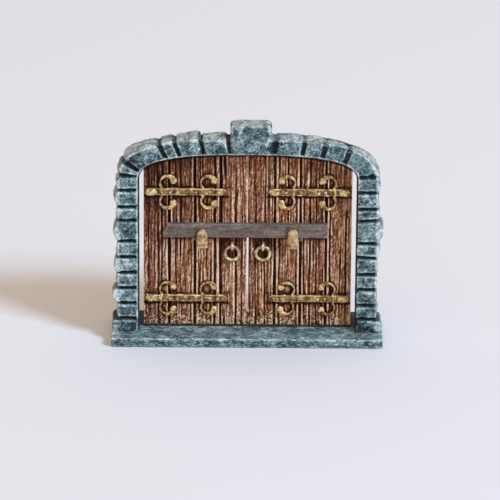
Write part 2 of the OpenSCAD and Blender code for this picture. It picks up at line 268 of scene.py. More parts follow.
class Paint:
    """A material's node tree with short ways to add the nodes that the finishes here share."""

    def __init__(self, name, roughness, metallic=0.0):
        self.material = bpy.data.materials.new(name)
        self.material.use_nodes = True
        self.tree = self.material.node_tree
        self.shader = self.tree.nodes["Principled BSDF"]
        self.shader.inputs["Roughness"].default_value = roughness
        self.shader.inputs["Metallic"].default_value = metallic
        self.place = self.add("ShaderNodeTexCoord").outputs["Object"]

    def add(self, kind):
        return self.tree.nodes.new(kind)

    def join(self, source, target):
        self.tree.links.new(source, target)

    def noise(self, size, detail=3.0, stretch=(1, 1, 1), turn=(0, 0, 0), kind="FBM", distortion=0.0):
        """Noise from 0 to 1 with spots of about size millimetres, longer where stretch is larger."""
        mapping = self.add("ShaderNodeMapping")
        mapping.vector_type = "TEXTURE"
        mapping.inputs["Scale"].default_value = [size * MM * s for s in stretch]
        mapping.inputs["Rotation"].default_value = turn
        node = self.add("ShaderNodeTexNoise")
        node.noise_type = kind
        node.inputs["Scale"].default_value = 1.0
        node.inputs["Detail"].default_value = detail
        node.inputs["Distortion"].default_value = distortion
        self.join(self.place, mapping.inputs["Vector"])
        self.join(mapping.outputs["Vector"], node.inputs["Vector"])
        return node.outputs["Fac"]

    def value(self, name):
        """A point attribute of the mesh, such as relief."""
        node = self.add("ShaderNodeAttribute")
        node.attribute_name = name
        return node.outputs["Fac"]

    def math(self, operation, first, second):
        node = self.add("ShaderNodeMath")
        node.operation = operation
        for socket, entry in zip(node.inputs, (first, second)):
            if isinstance(entry, (int, float)):
                socket.default_value = entry
            else:
                self.join(entry, socket)
        return node.outputs["Value"]

    def weighted(self, *terms):
        """The sum of (socket, weight) pairs and plain numbers."""
        total = None
        for term in terms:
            part = self.math("MULTIPLY", *term) if isinstance(term, tuple) else term
            total = part if total is None else self.math("ADD", total, part)
        return total

    def ramp(self, factor, stops):
        node = self.add("ShaderNodeValToRGB")
        elements = node.color_ramp.elements
        while len(elements) < len(stops):
            elements.new(0.5)
        for element, (position, colour) in zip(elements, stops):
            element.position = position
            element.color = paint_colour(*colour)
        self.join(factor, node.inputs["Fac"])
        return node.outputs["Color"]

    def mix(self, factor, first, second, blend="MIX"):
        node = self.add("ShaderNodeMix")
        node.data_type = "RGBA"
        node.blend_type = blend
        sockets = (node.inputs[0], node.inputs[6], node.inputs[7])
        for socket, entry in zip(sockets, (factor, first, second)):
            if isinstance(entry, (int, float, tuple)):
                socket.default_value = entry
            else:
                self.join(entry, socket)
        return node.outputs[2]

    def finish(self, colour, bump, height_mm, roughness=None):
        """Wires the colour, a bump of that height, and an uneven roughness to the shader."""
        self.join(colour, self.shader.inputs["Base Color"])
        node = self.add("ShaderNodeBump")
        node.inputs["Strength"].default_value = 1.0
        node.inputs["Distance"].default_value = height_mm * MM
        self.join(bump, node.inputs["Height"])
        self.join(node.outputs["Normal"], self.shader.inputs["Normal"])
        if roughness is not None:
            self.join(roughness, self.shader.inputs["Roughness"])
        return self.material


# %% [markdown]
# The stone is near-black blue in the joints, teal grey on the faces, and almost white along edges.
# Two ridged noises, turned to cross each other, give the short strokes of a stiff brush.

# %% Stone paint
def crossing_strokes(paint, size, length, lean=0.75):
    """The brighter of two streaky noises, turned to lean both ways from the vertical."""
    one = paint.noise(size, 1, (1, 1, length), (0.2, lean, 0.1), "FBM", 0.2)
    other = paint.noise(size * 0.9, 1, (1, 1, length), (-0.2, -lean - 0.1, 0.3), "FBM", 0.2)
    return paint.math("MAXIMUM", one, other)


def stone_paint(name, lean):
    """lean is how far the strokes lean from the vertical, in radians."""
    paint = Paint(name, roughness=0.82)
    strokes = crossing_strokes(paint, 0.32, 4.2, lean)
    wash = paint.noise(1.5, 4, (1, 1, 1), (0.3, 0.4, 0.5), "FBM", 0.7)
    patches = paint.noise(6.0, 2)
    level = paint.weighted((paint.value("relief"), 0.78), (strokes, 1.75), (wash, 0.6), -1.24)
    colour = paint.ramp(level, [
        (0.04, (13, 18, 23)), (0.19, (36, 50, 58)), (0.36, (78, 104, 110)),
        (0.53, (118, 144, 147)), (0.72, (172, 186, 187)), (0.93, (222, 226, 224))])
    pale_level = paint.weighted((strokes, 1.9), (wash, 1.2), (paint.value("relief"), 0.5), -1.42)
    pale = paint.ramp(pale_level, [
        (0.1, (90, 100, 102)), (0.42, (148, 158, 158)), (0.85, (222, 226, 226))])
    # Painted light, in part: where the pale attribute marks top and outer faces, the pale coat also
    # stands in for the light falling on them.
    pale_coat_and_painted_light = paint.math("MULTIPLY", paint.value("pale"), paint.weighted((wash, 2.2), -0.25))
    both = paint.mix(pale_coat_and_painted_light, colour, pale)
    tinted = paint.mix(paint.weighted((patches, 0.35)), both, paint_colour(128, 134, 140), "SOFT_LIGHT")
    return paint.finish(tinted, paint.weighted((strokes, 1.0), (wash, 0.7)), 0.30)


# %% Wood paint
def wood_paint():
    """Streaks that run along Z: dark red-brown in the grain, tan where the brush caught."""
    paint = Paint("planks_dry_brushed", roughness=0.72)
    paint.shader.inputs["Specular IOR Level"].default_value = 0.2
    streaks = paint.noise(0.30, 3, (1, 1, 16), (0, 0, 0), "FBM", 0.3)
    flecks = paint.noise(0.42, 3, (1, 1, 2.2), (0.05, 0.1, 0), "FBM", 1.0)
    scuffs = paint.math("SUBTRACT", crossing_strokes(paint, 0.40, 3.0), 0.54)
    scuffed = paint.math("MULTIPLY", scuffs, paint.value("scuff"))
    broad = paint.noise(1.1, 3, (1, 1, 5), (0, 0.03, 0), "FBM", 0.8)
    level = paint.weighted((paint.value("relief"), 0.85), (streaks, 0.60), (flecks, 1.2), (broad, 0.9),
                           (scuffed, 2.6), (paint.value("tone"), 0.22), -1.41)
    colour = paint.ramp(level, [
        (0.04, (34, 9, 4)), (0.22, (76, 34, 19)), (0.40, (114, 70, 47)),
        (0.60, (158, 112, 83)), (0.78, (208, 172, 143)), (0.97, (244, 220, 196))])
    blotch = paint.ramp(paint.noise(3.2, 2, (1, 1, 2.5)), [
        (0.36, (160, 117, 72)), (0.5, (136, 117, 98)), (0.64, (122, 114, 122))])
    tinted = paint.mix(0.6, colour, blotch, "SOFT_LIGHT")
    return paint.finish(tinted, paint.weighted((streaks, 0.9), (flecks, 0.5)), 0.24)


# %% Bar paint
def bar_paint():
    """Dark grey-brown with short faint scratches along the bar."""
    paint = Paint("bar_dark_paint", roughness=0.66)
    scratches = paint.noise(0.4, 4, (5, 1, 1), (0, 0.1, 0.1), "FBM", 0.8)
    spots = paint.noise(0.8, 3)
    level = paint.weighted((paint.value("relief"), 0.55), (scratches, 0.7), (spots, 0.5), -0.37)
    colour = paint.ramp(level, [(0.1, (52, 42, 35)), (0.42, (98, 85, 76)), (0.62, (124, 109, 98)),
                                (0.9, (184, 168, 150))])
    return paint.finish(colour, paint.weighted((scratches, 0.6), (spots, 0.6)), 0.14)


# %% Gold paint
def gold_paint(name, dark, middle, light, shine):
    """Antique gold: dark wash in the hollows, warm metal on the faces, pale rubbed edges."""
    paint = Paint(name, roughness=0.5, metallic=0.35)
    wash = paint.noise(1.0, 3, (1, 1, 1), (0, 0, 0), "FBM", 0.8)
    spots = paint.noise(0.40, 2)
    level = paint.weighted((paint.value("relief"), 0.7), (wash, 1.1), (spots, 0.6), -0.76)
    colour = paint.ramp(level, [(0.08, dark), (0.45, middle), (0.85, light)])
    copper = paint.ramp(paint.noise(1.7, 2), [(0.40, (134, 128, 108)), (0.60, (156, 114, 104))])
    tinted = paint.mix(0.6, colour, copper, "SOFT_LIGHT")
    rubbed = paint.weighted((spots, 0.25), shine)
    return paint.finish(tinted, paint.weighted((wash, 0.6), (spots, 0.3)), 0.18, rubbed)


# %% Make the paints
STONE = stone_paint("slate_dry_brushed", 0.75)
BASE_STONE = stone_paint("slate_brushed_lengthwise", 1.38)
WOOD = wood_paint()
DARK_BAR = bar_paint()
STRAP_GOLD = gold_paint("strap_antique_gold", (58, 34, 14), (152, 120, 78), (250, 226, 172), 0.28)
HOOK_GOLD = gold_paint("hook_pale_gold", (92, 70, 42), (190, 164, 120), (228, 210, 170), 0.38)
RING_GOLD = gold_paint("ring_pale_gold", (84, 64, 48), (186, 160, 126), (250, 238, 212), 0.22)
STAPLE_GOLD = gold_paint("staple_pale_metal", (120, 98, 84), (206, 186, 166), (250, 244, 232), 0.25)
print("materials:", len(bpy.data.materials))

# %% [markdown]
# ## The stone frame
# The real frame is one casting: posts and arch with engraved joints. It could be a stack of separate
# rounded blocks, but then the joints would be cracks right through. Here a rounded square outline is
# carried along the whole frame, from the left foot over the arch to the right foot. Each stone is a
# stretch of that path between two joints. Near a joint the surface dips, and between joints it swells,
# so the path's grid becomes a row of stones. A thin rim along the doorway stays whole, as on the
# casting.

# %% The doorway's and the outer curve
def arch_height(x, half, top, rise, power):
    """Height of a flattened arch: a superellipse with its own power above its spring."""
    return top - rise + rise * np.maximum(0, 1 - np.minimum(1, np.abs(x) / half) ** power) ** (1 / power)


def arch_curve(half, foot, top, rise, power):
    """Dense points up the left side, over a superellipse and down the right side."""
    angle = np.linspace(math.pi, 0, 1200)
    x = half * np.sign(np.cos(angle)) * np.abs(np.cos(angle)) ** (2 / power)
    z = top - rise + rise * np.abs(np.sin(angle)) ** (2 / power)
    rise_up = np.linspace(foot, top - rise, 400, endpoint=False)
    left = np.stack([np.full(400, -half), rise_up], 1)
    right = np.stack([np.full(400, half), rise_up[::-1]], 1)
    return np.concatenate([left, np.stack([x, z], 1), right])


def run_length(curve):
    steps = np.linalg.norm(np.diff(curve, axis=0), axis=1)
    return np.concatenate([[0], np.cumsum(steps)])


LIP_TOP = CROWN - 0.55
INNER_CURVE = arch_curve(JAMB, BASE_TOP, LIP_TOP, ARCH_RISE, ARCH_POWER)
OUTER_CURVE = arch_curve(POST + 0.4, BASE_TOP, RING_TOP, OUTER_RISE, OUTER_POWER)
INNER_RUN, OUTER_RUN = run_length(INNER_CURVE), run_length(OUTER_CURVE)


def at_x(curve, x):
    """How far along a curve its point nearest to x lies."""
    return run_length(curve)[np.argmin(np.abs(curve[:, 0] - x))]


def at_height(curve, side, z):
    """How far along a curve its point nearest to height z on one side lies."""
    away = np.where(curve[:, 0] * side > 0, np.abs(curve[:, 1] - z), np.inf)
    return run_length(curve)[np.argmin(away)]


def course_joint(side, height, lean=0):
    """Where a post's joint lies on both curves. lean raises its outer end."""
    z = BASE_TOP + height
    return at_height(INNER_CURVE, side, z), at_height(OUTER_CURVE, side, z + lean)


# %% Where the joints are
# Heights of the posts' joints over the base, how far the right ones lean, and the x of the arch's
# joints on the inner and on the outer curve.
LEFT_COURSES = [4.4, 9.8, 15, 20.2, 25.6, 31, 38.2, 42.8, 48.4, 53.4]
RIGHT_COURSES = [4.6, 9.3, 14.8, 20, 26, 30.7, 38, 42.3, 48, 53.2]
RIGHT_LEANS = [0, 0, 0, 0, -0.4, 0, 0.7, 0.3, -0.1, 0.5]
ARCH_JOINTS = [(-34.8, -40.0), (-26.2, -28.8), (-21.8, -23.9), (-14.1, -15.4), (-5.8, -6.4),
               (7.9, 9.0), (17.2, 18.3), (23.7, 25.1), (31.0, 33.0)]
RIGHT_SIDE = list(zip(RIGHT_COURSES, RIGHT_LEANS))[::-1]
JOINTS = np.array(
    [(0.0, 0.0)]
    + [course_joint(-1, height) for height in LEFT_COURSES]
    + [(at_x(INNER_CURVE, inner), at_x(OUTER_CURVE, outer)) for inner, outer in ARCH_JOINTS]
    + [course_joint(1, height, lean) for height, lean in RIGHT_SIDE]
    + [(INNER_RUN[-1], OUTER_RUN[-1])])
FIRST_ARCH = len(LEFT_COURSES)
LAST_ARCH = FIRST_ARCH + len(ARCH_JOINTS)
KEYSTONE = FIRST_ARCH + 5
print("stones in the frame:", len(JOINTS) - 1)

# %% Carry the outline along the frame
STONE_STEPS = 20
FRAME_LOOP_POWER = 11
FRAME_LOOP = square_loop(34, 34, FRAME_LOOP_POWER)
FRAME_NORMALS = loop_normals(FRAME_LOOP, FRAME_LOOP_POWER)
# How far each arch stone stands out of the ring at its first and last joint.
STANDS = np.array([(0.4, 0.9), (1.1, 0.1), (0.2, 0.6), (0.1, 1.2), (0.0, 0.3), (0, 0), (0.3, 0.1),
                   (0.1, -0.4), (-0.6, -1.0), (-0.8, 0.9)])
# How far each course of a post bulges outwards, from the foot up.
LEFT_BULGES = [1.7, 0.1, 1.7, 0.2, 1.3, 0.4, 1.2, 0.4, 0.7, 0.3]
RIGHT_BULGES = [1.3, -0.1, -0.4, -0.2, 0.0, 0.3, 1.7, 0.7, 0.0, 0.6]
ARCH_BULGES = [0.4] + [0.0] * (len(ARCH_JOINTS) - 1) + [0.4]
BULGES = np.array(LEFT_BULGES + ARCH_BULGES + RIGHT_BULGES[::-1])
GROOVE_DEPTH, JAMB_REBATE = 1.15, 0.36
# Half the width of a groove in a post, left arch, right arch, and beside the keystone.
POST_GROOVE, LEFT_GROOVE, RIGHT_GROOVE, KEY_GROOVE = 0.47, 0.68, 0.85, 1.15
NO_JOINT = 9.0


def stone_frame():
    """Rings across the frame, pushed in at joints and out where a stone swells.

    For each place along the path, the ring's middle is halfway from the doorway's curve to the outer
    curve. a runs across from one to the other, and b runs from front to back.
    """
    stones = len(JOINTS) - 1
    t = (1 - np.cos(np.linspace(0, math.pi, STONE_STEPS, endpoint=False))) / 2
    number = np.append(np.repeat(np.arange(stones), STONE_STEPS), stones - 1)
    part = np.append(np.tile(t, stones), 1.0)
    start, stop = part < 0.5, part > 0.5
    run = JOINTS[number] * (1 - part[:, None]) + JOINTS[number + 1] * part[:, None]
    inner = np.stack([np.interp(run[:, 0], INNER_RUN, INNER_CURVE[:, k]) for k in (0, 1)], 1)
    outer = np.stack([np.interp(run[:, 1], OUTER_RUN, OUTER_CURVE[:, k]) for k in (0, 1)], 1)
    length = (JOINTS[number + 1] - JOINTS[number]).mean(1)
    at_foot = ((number == 0) & start) | ((number == stones - 1) & stop)
    to_joint = np.where(at_foot, NO_JOINT, np.minimum(part, 1 - part) * length)[:, None]

    a, b = FRAME_LOOP[:, 0], FRAME_LOOP[:, 1]
    middle_y, half_y = (FRAME_FRONT + FRAME_BACK) / 2, (FRAME_BACK - FRAME_FRONT) / 2
    middle, across = (inner + outer) / 2, outer - inner
    ring = grid(middle[:, :1] + across[:, :1] / 2 * a, middle_y + half_y * b,
                middle[:, 1:] + across[:, 1:] / 2 * a)
    direction = across / np.linalg.norm(across, axis=1, keepdims=True)
    normal = grid(direction[:, :1] * FRAME_NORMALS[:, 0], FRAME_NORMALS[:, 1],
                  direction[:, 1:] * FRAME_NORMALS[:, 0])

    on_right, on_post = inner[:, :1] > 0, inner[:, 1:] < SPRING
    is_foot = ((number == 0) | (number == stones - 1))[:, None]
    outer_side, rear = smooth(a, 0.55, 0.95), smooth(b, -0.35, 0.1)
    front, inner_face = smooth(-b, 0.80, 0.97), smooth(-a, 0.9, 0.98)
    rim = np.where(on_right & on_post, smooth(a, -0.99, -0.93), smooth(a, -0.93, -0.72))

    # Grooves at the joints, and how much of their depth reaches the outer side.
    notch = np.where(on_right, np.where(on_post, 0.7, 0.10), np.where(on_post, 0.28, 0.38))
    spring_joint = ((number == FIRST_ARCH) & start) | ((number == LAST_ARCH) & stop)
    by_keystone = ((number == KEYSTONE) & stop) | ((number == KEYSTONE + 1) & start)
    half_groove = np.where(on_right, RIGHT_GROOVE, LEFT_GROOVE)
    half_groove = np.where(by_keystone[:, None], KEY_GROOVE, half_groove)
    half_groove = np.where(on_post | spring_joint[:, None], POST_GROOVE, half_groove)
    slot = rim * (1 - (1 - notch) * smooth(a, 0.60, 0.84))
    groove = hump(to_joint + 0.16 * noise(ring, 1.6, 3), half_groove, 6)

    # Stones swell between joints, and each stands out by its own amount.
    swell = 1 - np.exp(-to_joint / 1.1)
    stand, bulge = chance(number, 5)[:, None], BULGES[number][:, None]
    pillow = np.where(is_foot, 1.0, np.sin(math.pi * part)[:, None] ** 0.7)
    stands = STANDS[np.clip(number - FIRST_ARCH, 0, len(STANDS) - 1)]
    tilt = stands[:, 0] * (1 - part) + stands[:, 1] * part
    tilt = np.where((number >= FIRST_ARCH) & (number <= LAST_ARCH), tilt, 0)[:, None]
    on_outside = np.where(on_post, bulge * pillow + 0.5 * stand * rear * swell,
                          tilt - 0.5 * smooth(-b, 0.3, 0.95))
    chips = rough(ring, 2.2, 4, 11)
    push = -GROOVE_DEPTH * groove * slot + 0.30 * (swell - 1) * rim
    push = push + 0.30 * (stand - 0.5) * rim * swell + outer_side * on_outside
    push = push + chips * (0.10 + 0.46 * rim) * (1 - 0.5 * groove)
    push = push + JAMB_REBATE * inner_face * smooth(b, -0.90, -0.74) * (1 - smooth(b, -0.15, 0.1))
    moved = ring + normal * push[..., None]
    limit = BASE_HIGH[0] - 0.1
    moved[..., 0] = np.clip(moved[..., 0], -limit, limit)
    moved[..., 1] = np.clip(moved[..., 1], ARCH_LOW[1] + 0.02, FRAME_BACK + 0.1)
    moved[[0, -1], :, 2] = BASE_TOP

    # What the brush catches: outer edges, the borders of the grooves, and the rim of the doorway.
    edge = smooth(a, 0.64, 0.92) * front
    arris = smooth(to_joint, 0.55, 0.85) * (1 - smooth(to_joint, 0.85, 1.5)) * front * rim
    near_edge = smooth(a, -0.97, -0.93) * (1 - smooth(a, -0.90, -0.84)) * front * (1 - groove)
    rim_light = np.where(on_right & on_post, 0.15, 0.50) * (1 - rim) * front
    relief = 0.46 - 1.3 * groove * slot + 0.50 * edge * (1 - groove) + 0.34 * arris + 0.55 * chips
    relief = relief + 0.38 * near_edge * (on_right & on_post) - 0.22 * is_foot + rim_light
    # Painted shade: the doorway's inner faces are darkened, all but a thin strip at the front.
    relief = relief - 0.75 * inner_face * smooth(b, -0.93, -0.85)
    # pale marks the outer and top faces for a paler grey coat: partly real dry-brushing, partly painted
    # light on the arch's top and the posts' shaded outer sides.
    pale = smooth(a, 0.88, 0.97) * (1 - 0.8 * groove) * np.where(on_post, 0.7, 1.0)
    return shaped(moved, relief, pale=pale)


# %% [markdown]
# The keystone is a separate block on the real casting's pattern, taller than the ring and proud of it.
# A bevelled box would be too regular for hewn stone, and its grid would be coarse. So it is a rounded
# square outline carried from the narrow foot to the wide head, with noise all over.

# %% A rough block between two outlines
def rough_block(low, high, seed, power=9, along=26, around=26, chip=0.25):
    """A block from a lower rectangle to an upper one, each (x0, x1, y0, y1, z).

    Half of a rounded square gives each ring's size and height, so the block closes over its ends.
    Every point then moves by three noises, one for each axis.
    """
    loop = square_loop(around, around, power)
    profile = square_loop(along, along, power)
    profile = profile[np.argsort(np.arctan2(profile[:, 1], profile[:, 0]))]
    profile = profile[profile[:, 0] > 0.02]
    size, lift = profile[:, :1], (profile[:, 1:] + 1) / 2
    low, high = np.array(low, float), np.array(high, float)
    edge = low * (1 - lift) + high * lift
    half_x, half_y = (edge[:, 1:2] - edge[:, :1]) / 2, (edge[:, 3:4] - edge[:, 2:3]) / 2
    ring = grid((edge[:, :1] + edge[:, 1:2]) / 2 + half_x * loop[:, 0] * size,
                (edge[:, 2:3] + edge[:, 3:4]) / 2 + half_y * loop[:, 1] * size, edge[:, 4:5])
    chips = rough(ring, 2.2, 4, seed)
    offset = np.stack([rough(ring, 2.0, 4, seed + k) for k in (3, 5, 9)], -1)
    ring = ring + chip * 2 * offset
    on_side, on_depth = (smooth(np.abs(loop[:, k]), 0.85, 0.98) for k in (0, 1))
    end = smooth(np.abs(2 * lift - 1), 0.86, 0.97) * smooth(size, 0.85, 0.97)
    near_side = smooth(np.abs(loop[:, 0]), 0.80, 0.95) * smooth(-loop[:, 1], 0.5, 0.9)
    relief = 0.44 + 0.65 * chips + 0.55 * end
    relief = relief + 0.40 * (on_side * on_depth + near_side) * smooth(size, 0.8, 0.95)
    # The block's top face is marked for the pale coat: partly real paint, partly painted light on the
    # top.
    top = smooth(lift, 0.93, 0.985) * (1 - smooth(size, 0.97, 0.999))
    return shaped(ring, relief, pale=top + 0 * relief)


keystone = rough_block(
    (-4.9, 6.4, ARCH_LOW[1] + 0.1, FRAME_BACK, CROWN + 0.1),
    (-6.0, 7.9, ARCH_LOW[1] + 0.1, FRAME_BACK, ARCH_HIGH[2] + 0.65), seed=21, power=7, chip=0.12)
make_piece("stone_frame", joined([stone_frame(), keystone]), "frame", "stone_arch", STONE)

# %% [markdown]
# ## The base
# A low slab with a hewn front. A box with a noise modifier would chip all six sides alike, but the top
# has to stay flat enough for the leaves to swing over it. So it is the same kind of loft, carried from
# left to right, with strong noise on the front and gentle noise on the top.

# %% The base slab
def base_slab():
    """A rounded outline in Y and Z carried along X, with the underside left flat."""
    power, steps = 12, 240
    loop = square_loop(90, 14, power)
    facing = loop_normals(loop, power)
    t = (1 - np.cos(np.linspace(0, math.pi, steps))) / 2
    t = 0.25 * t + 0.75 * np.linspace(0, 1, steps)
    half_x = BASE_HIGH[0]
    x = -half_x + 2 * half_x * t
    in_from_end = np.minimum(x + half_x, half_x - x)
    shrink = 1 - 0.035 * np.exp(-in_from_end / 0.35)
    half_y, half_z = BASE_HIGH[1] - 0.15, BASE_TOP / 2
    ring = grid(x[:, None], loop[:, 0] * half_y * shrink[:, None],
                half_z + loop[:, 1] * (half_z - 0.02) * shrink[:, None])
    chips = rough(ring, (3.0, 2.4, 1.6), 4, 31)
    side = np.abs(facing[:, 0])
    push = chips * (0.10 + 0.35 * side) - 0.12 * side
    push = np.where(loop[:, 1] < -0.9, np.minimum(push, 0) * 0.2, push)
    ring[..., 1:] += facing * push[..., None]
    ends_in = np.exp(-in_from_end / 1.2)[:, None] * np.sign(-x)[:, None]
    ring[..., 0] += 0.3 * rough(ring, 2.5, 3, 33) * ends_in
    ring[..., 2] = np.clip(ring[..., 2], 0, BASE_TOP + 0.12)
    on_top = smooth(loop[:, 1], 0.9, 0.98)
    edge = smooth(np.abs(loop[:, 0]), 0.93, 0.99) * smooth(loop[:, 1], 0.6, 0.98)
    end = np.exp(-in_from_end / 0.5)[:, None] * smooth(loop[:, 1], 0.3, 0.95)
    hem = side * smooth(-loop[:, 1], 0.62, 0.85)
    face = side * smooth(0.55 - loop[:, 1], 0, 0.3) * (1 - smooth(-loop[:, 1], 0.5, 0.8))
    relief = 0.56 + 0.42 * chips + 0.50 * edge + 0.3 * end + 0.24 * hem - 0.10 * face
    place_x, place_y = np.abs(ring[..., 0]), ring[..., 1]
    # Painted shade on the tread: a dark slit under the leaves' front, the rear tread behind them, and
    # the corner between each leaf's foot and its jamb.
    shade_under_leaf = smooth(LEAF_EDGE + 0.4 - place_x, 0, 0.4) * hump(place_y - LEAF_FRONT - 0.1, 0.6, 4)
    shade_behind_leaves = smooth(place_y, LEAF_FRONT, LEAF_BACK) * smooth(JAMB + 1 - place_x, 0, 1)
    corner = smooth(place_x, LEAF_EDGE - 1.2, LEAF_EDGE) * smooth(JAMB + 0.2 - place_x, 0, 0.4)
    corner = corner * smooth(place_y, LEAF_FRONT - 0.6, LEAF_FRONT + 0.4)
    relief = relief - 0.7 * shade_under_leaf - (0.22 * shade_behind_leaves + 0.75 * corner) * on_top
    return shaped(ring, relief, pale=np.zeros(relief.size))


make_piece("stone_base", base_slab(), "frame", "base_sill", BASE_STONE)

# %% [markdown]
# ## The planked leaves
# Each leaf is one casting with planks carved on both faces. Both faces are height fields on the same
# grid: across the leaf the height dips at the gaps between planks and at coarse grooves within a
# plank, and along the leaf it barely changes, as grain does. The two faces and the edges between them
# form one closed ring for each step across the leaf.

# %% A planked leaf
PLANKS = 4
LEAF_COLUMNS, LEAF_ROWS = 300, 130


def plank_height(x, z, face, side):
    """Height of the worn surface in millimetres, 0 at its highest. x runs from the centre outwards."""
    width = (LEAF_EDGE - LEAF_INNER) / PLANKS
    plank = np.clip(np.floor((x - LEAF_INNER) / width), 0, PLANKS - 1)
    in_plank = (x - LEAF_INNER) - plank * width
    to_gap = np.minimum(in_plank, width - in_plank)
    seed = int(40 + 5 * face + side)
    spot = np.stack([x, np.full_like(x, 9.0 * face + 3 * side), z], -1)
    wander = 0.14 * noise(spot, (2, 1, 9), seed)
    outer_edge = (x > LEAF_EDGE - 0.6) | (x < LEAF_INNER + 0.6)
    gap = hump(to_gap + wander, 0.44, 6) * np.where(outer_edge, 0.0, 1.0)
    height = -0.80 * gap
    ridges = 3.6 + 2.4 * chance(plank, seed + 4)
    for k in range(1, 6):
        centre = width * (k + 0.8 * (chance(plank * 7 + k, seed) - 0.5)) / ridges
        drift = 0.22 * noise(spot, (3, 1, 14), seed + 11 + k)
        depth = 0.18 + 0.55 * chance(plank * 5 + k, seed + 2) ** 1.5
        fade = np.clip(0.75 + 1.3 * noise(spot, (4, 1, 16), seed + 31 + k), 0.1, 1)
        height = height - depth * fade * hump(in_plank - centre + drift, 0.17 + 0.28 * depth)
    grain = noise(spot, (0.42, 1, 9), seed + 5) + 0.6 * noise(spot, (0.30, 1, 4), seed + 6)
    nicks = noise(spot, (0.6, 1, 0.9), seed + 7)
    tilt = 0.16 * (chance(plank, seed + 9) - 0.5)
    return np.clip(height + 0.11 * grain + 0.05 * nicks + tilt - 0.12, -0.95, 0.0), plank


def crests(height, reach=5):
    """How far each point stands above the mean of its neighbours across the grain."""
    around = sum(np.roll(height, step, 0) for step in range(-reach, reach + 1))
    return height - around / (2 * reach + 1)


SCROLL_PLACES = (7.1, 20.4)
SCROLL_RISE, SCROLL_RADIUS = 3.15, 2.3
STRAP_OUTER = 33.3


def painted_fitting_shade(x, z):
    """1 where painted shade darkens the leaf: below and above each strap, round its scrolls and the pull
    ring, and under the bar.
    """
    fitting_shade = np.zeros_like(x)
    for node in ("left_upper_strap", "left_lower_strap"):
        low, high = box_mm(node)
        up = z - (low[2] + high[2]) / 2
        along = smooth(x, 5.5, 6.5) * smooth(34.5 - x, 0, 1)
        fitting_shade = np.maximum(fitting_shade, along * hump(up + 1.75, 0.45, 4))
        fitting_shade = np.maximum(fitting_shade, 0.5 * along * hump(up - 1.6, 0.35, 4))
        for place in SCROLL_PLACES:
            from_middle = np.hypot(x - (STRAP_OUTER - place), np.abs(up) - SCROLL_RISE)
            fitting_shade = np.maximum(fitting_shade, 0.8 * hump(from_middle - SCROLL_RADIUS + 0.3, 0.95, 4))
    low, high = box_mm("left_pull_ring")
    middle = (low + high) / 2
    fitting_shade = np.maximum(fitting_shade, 0.75 * hump(np.hypot(x + middle[0], z - middle[2]), 3.0, 6))
    shade_round_rings = smooth(x, 1.2, 2.2) * smooth(11.5 - x, 0, 3.5) * smooth(z, 27.0, 32.5)
    fitting_shade = np.maximum(fitting_shade, 0.58 * shade_round_rings * smooth(BAR_LOW[2] + 1 - z, 0, 0.5))
    shade_under_bar = smooth(27.6 - x, 0, 0.5) * hump(z - BAR_LOW[2] + 0.5, 0.9, 4)
    return np.maximum(fitting_shade, 0.6 * shade_under_bar)


MEETING_EDGE = 0.2
SHOULDER, LEAF_TOP = 0.6, CROWN - 1.1


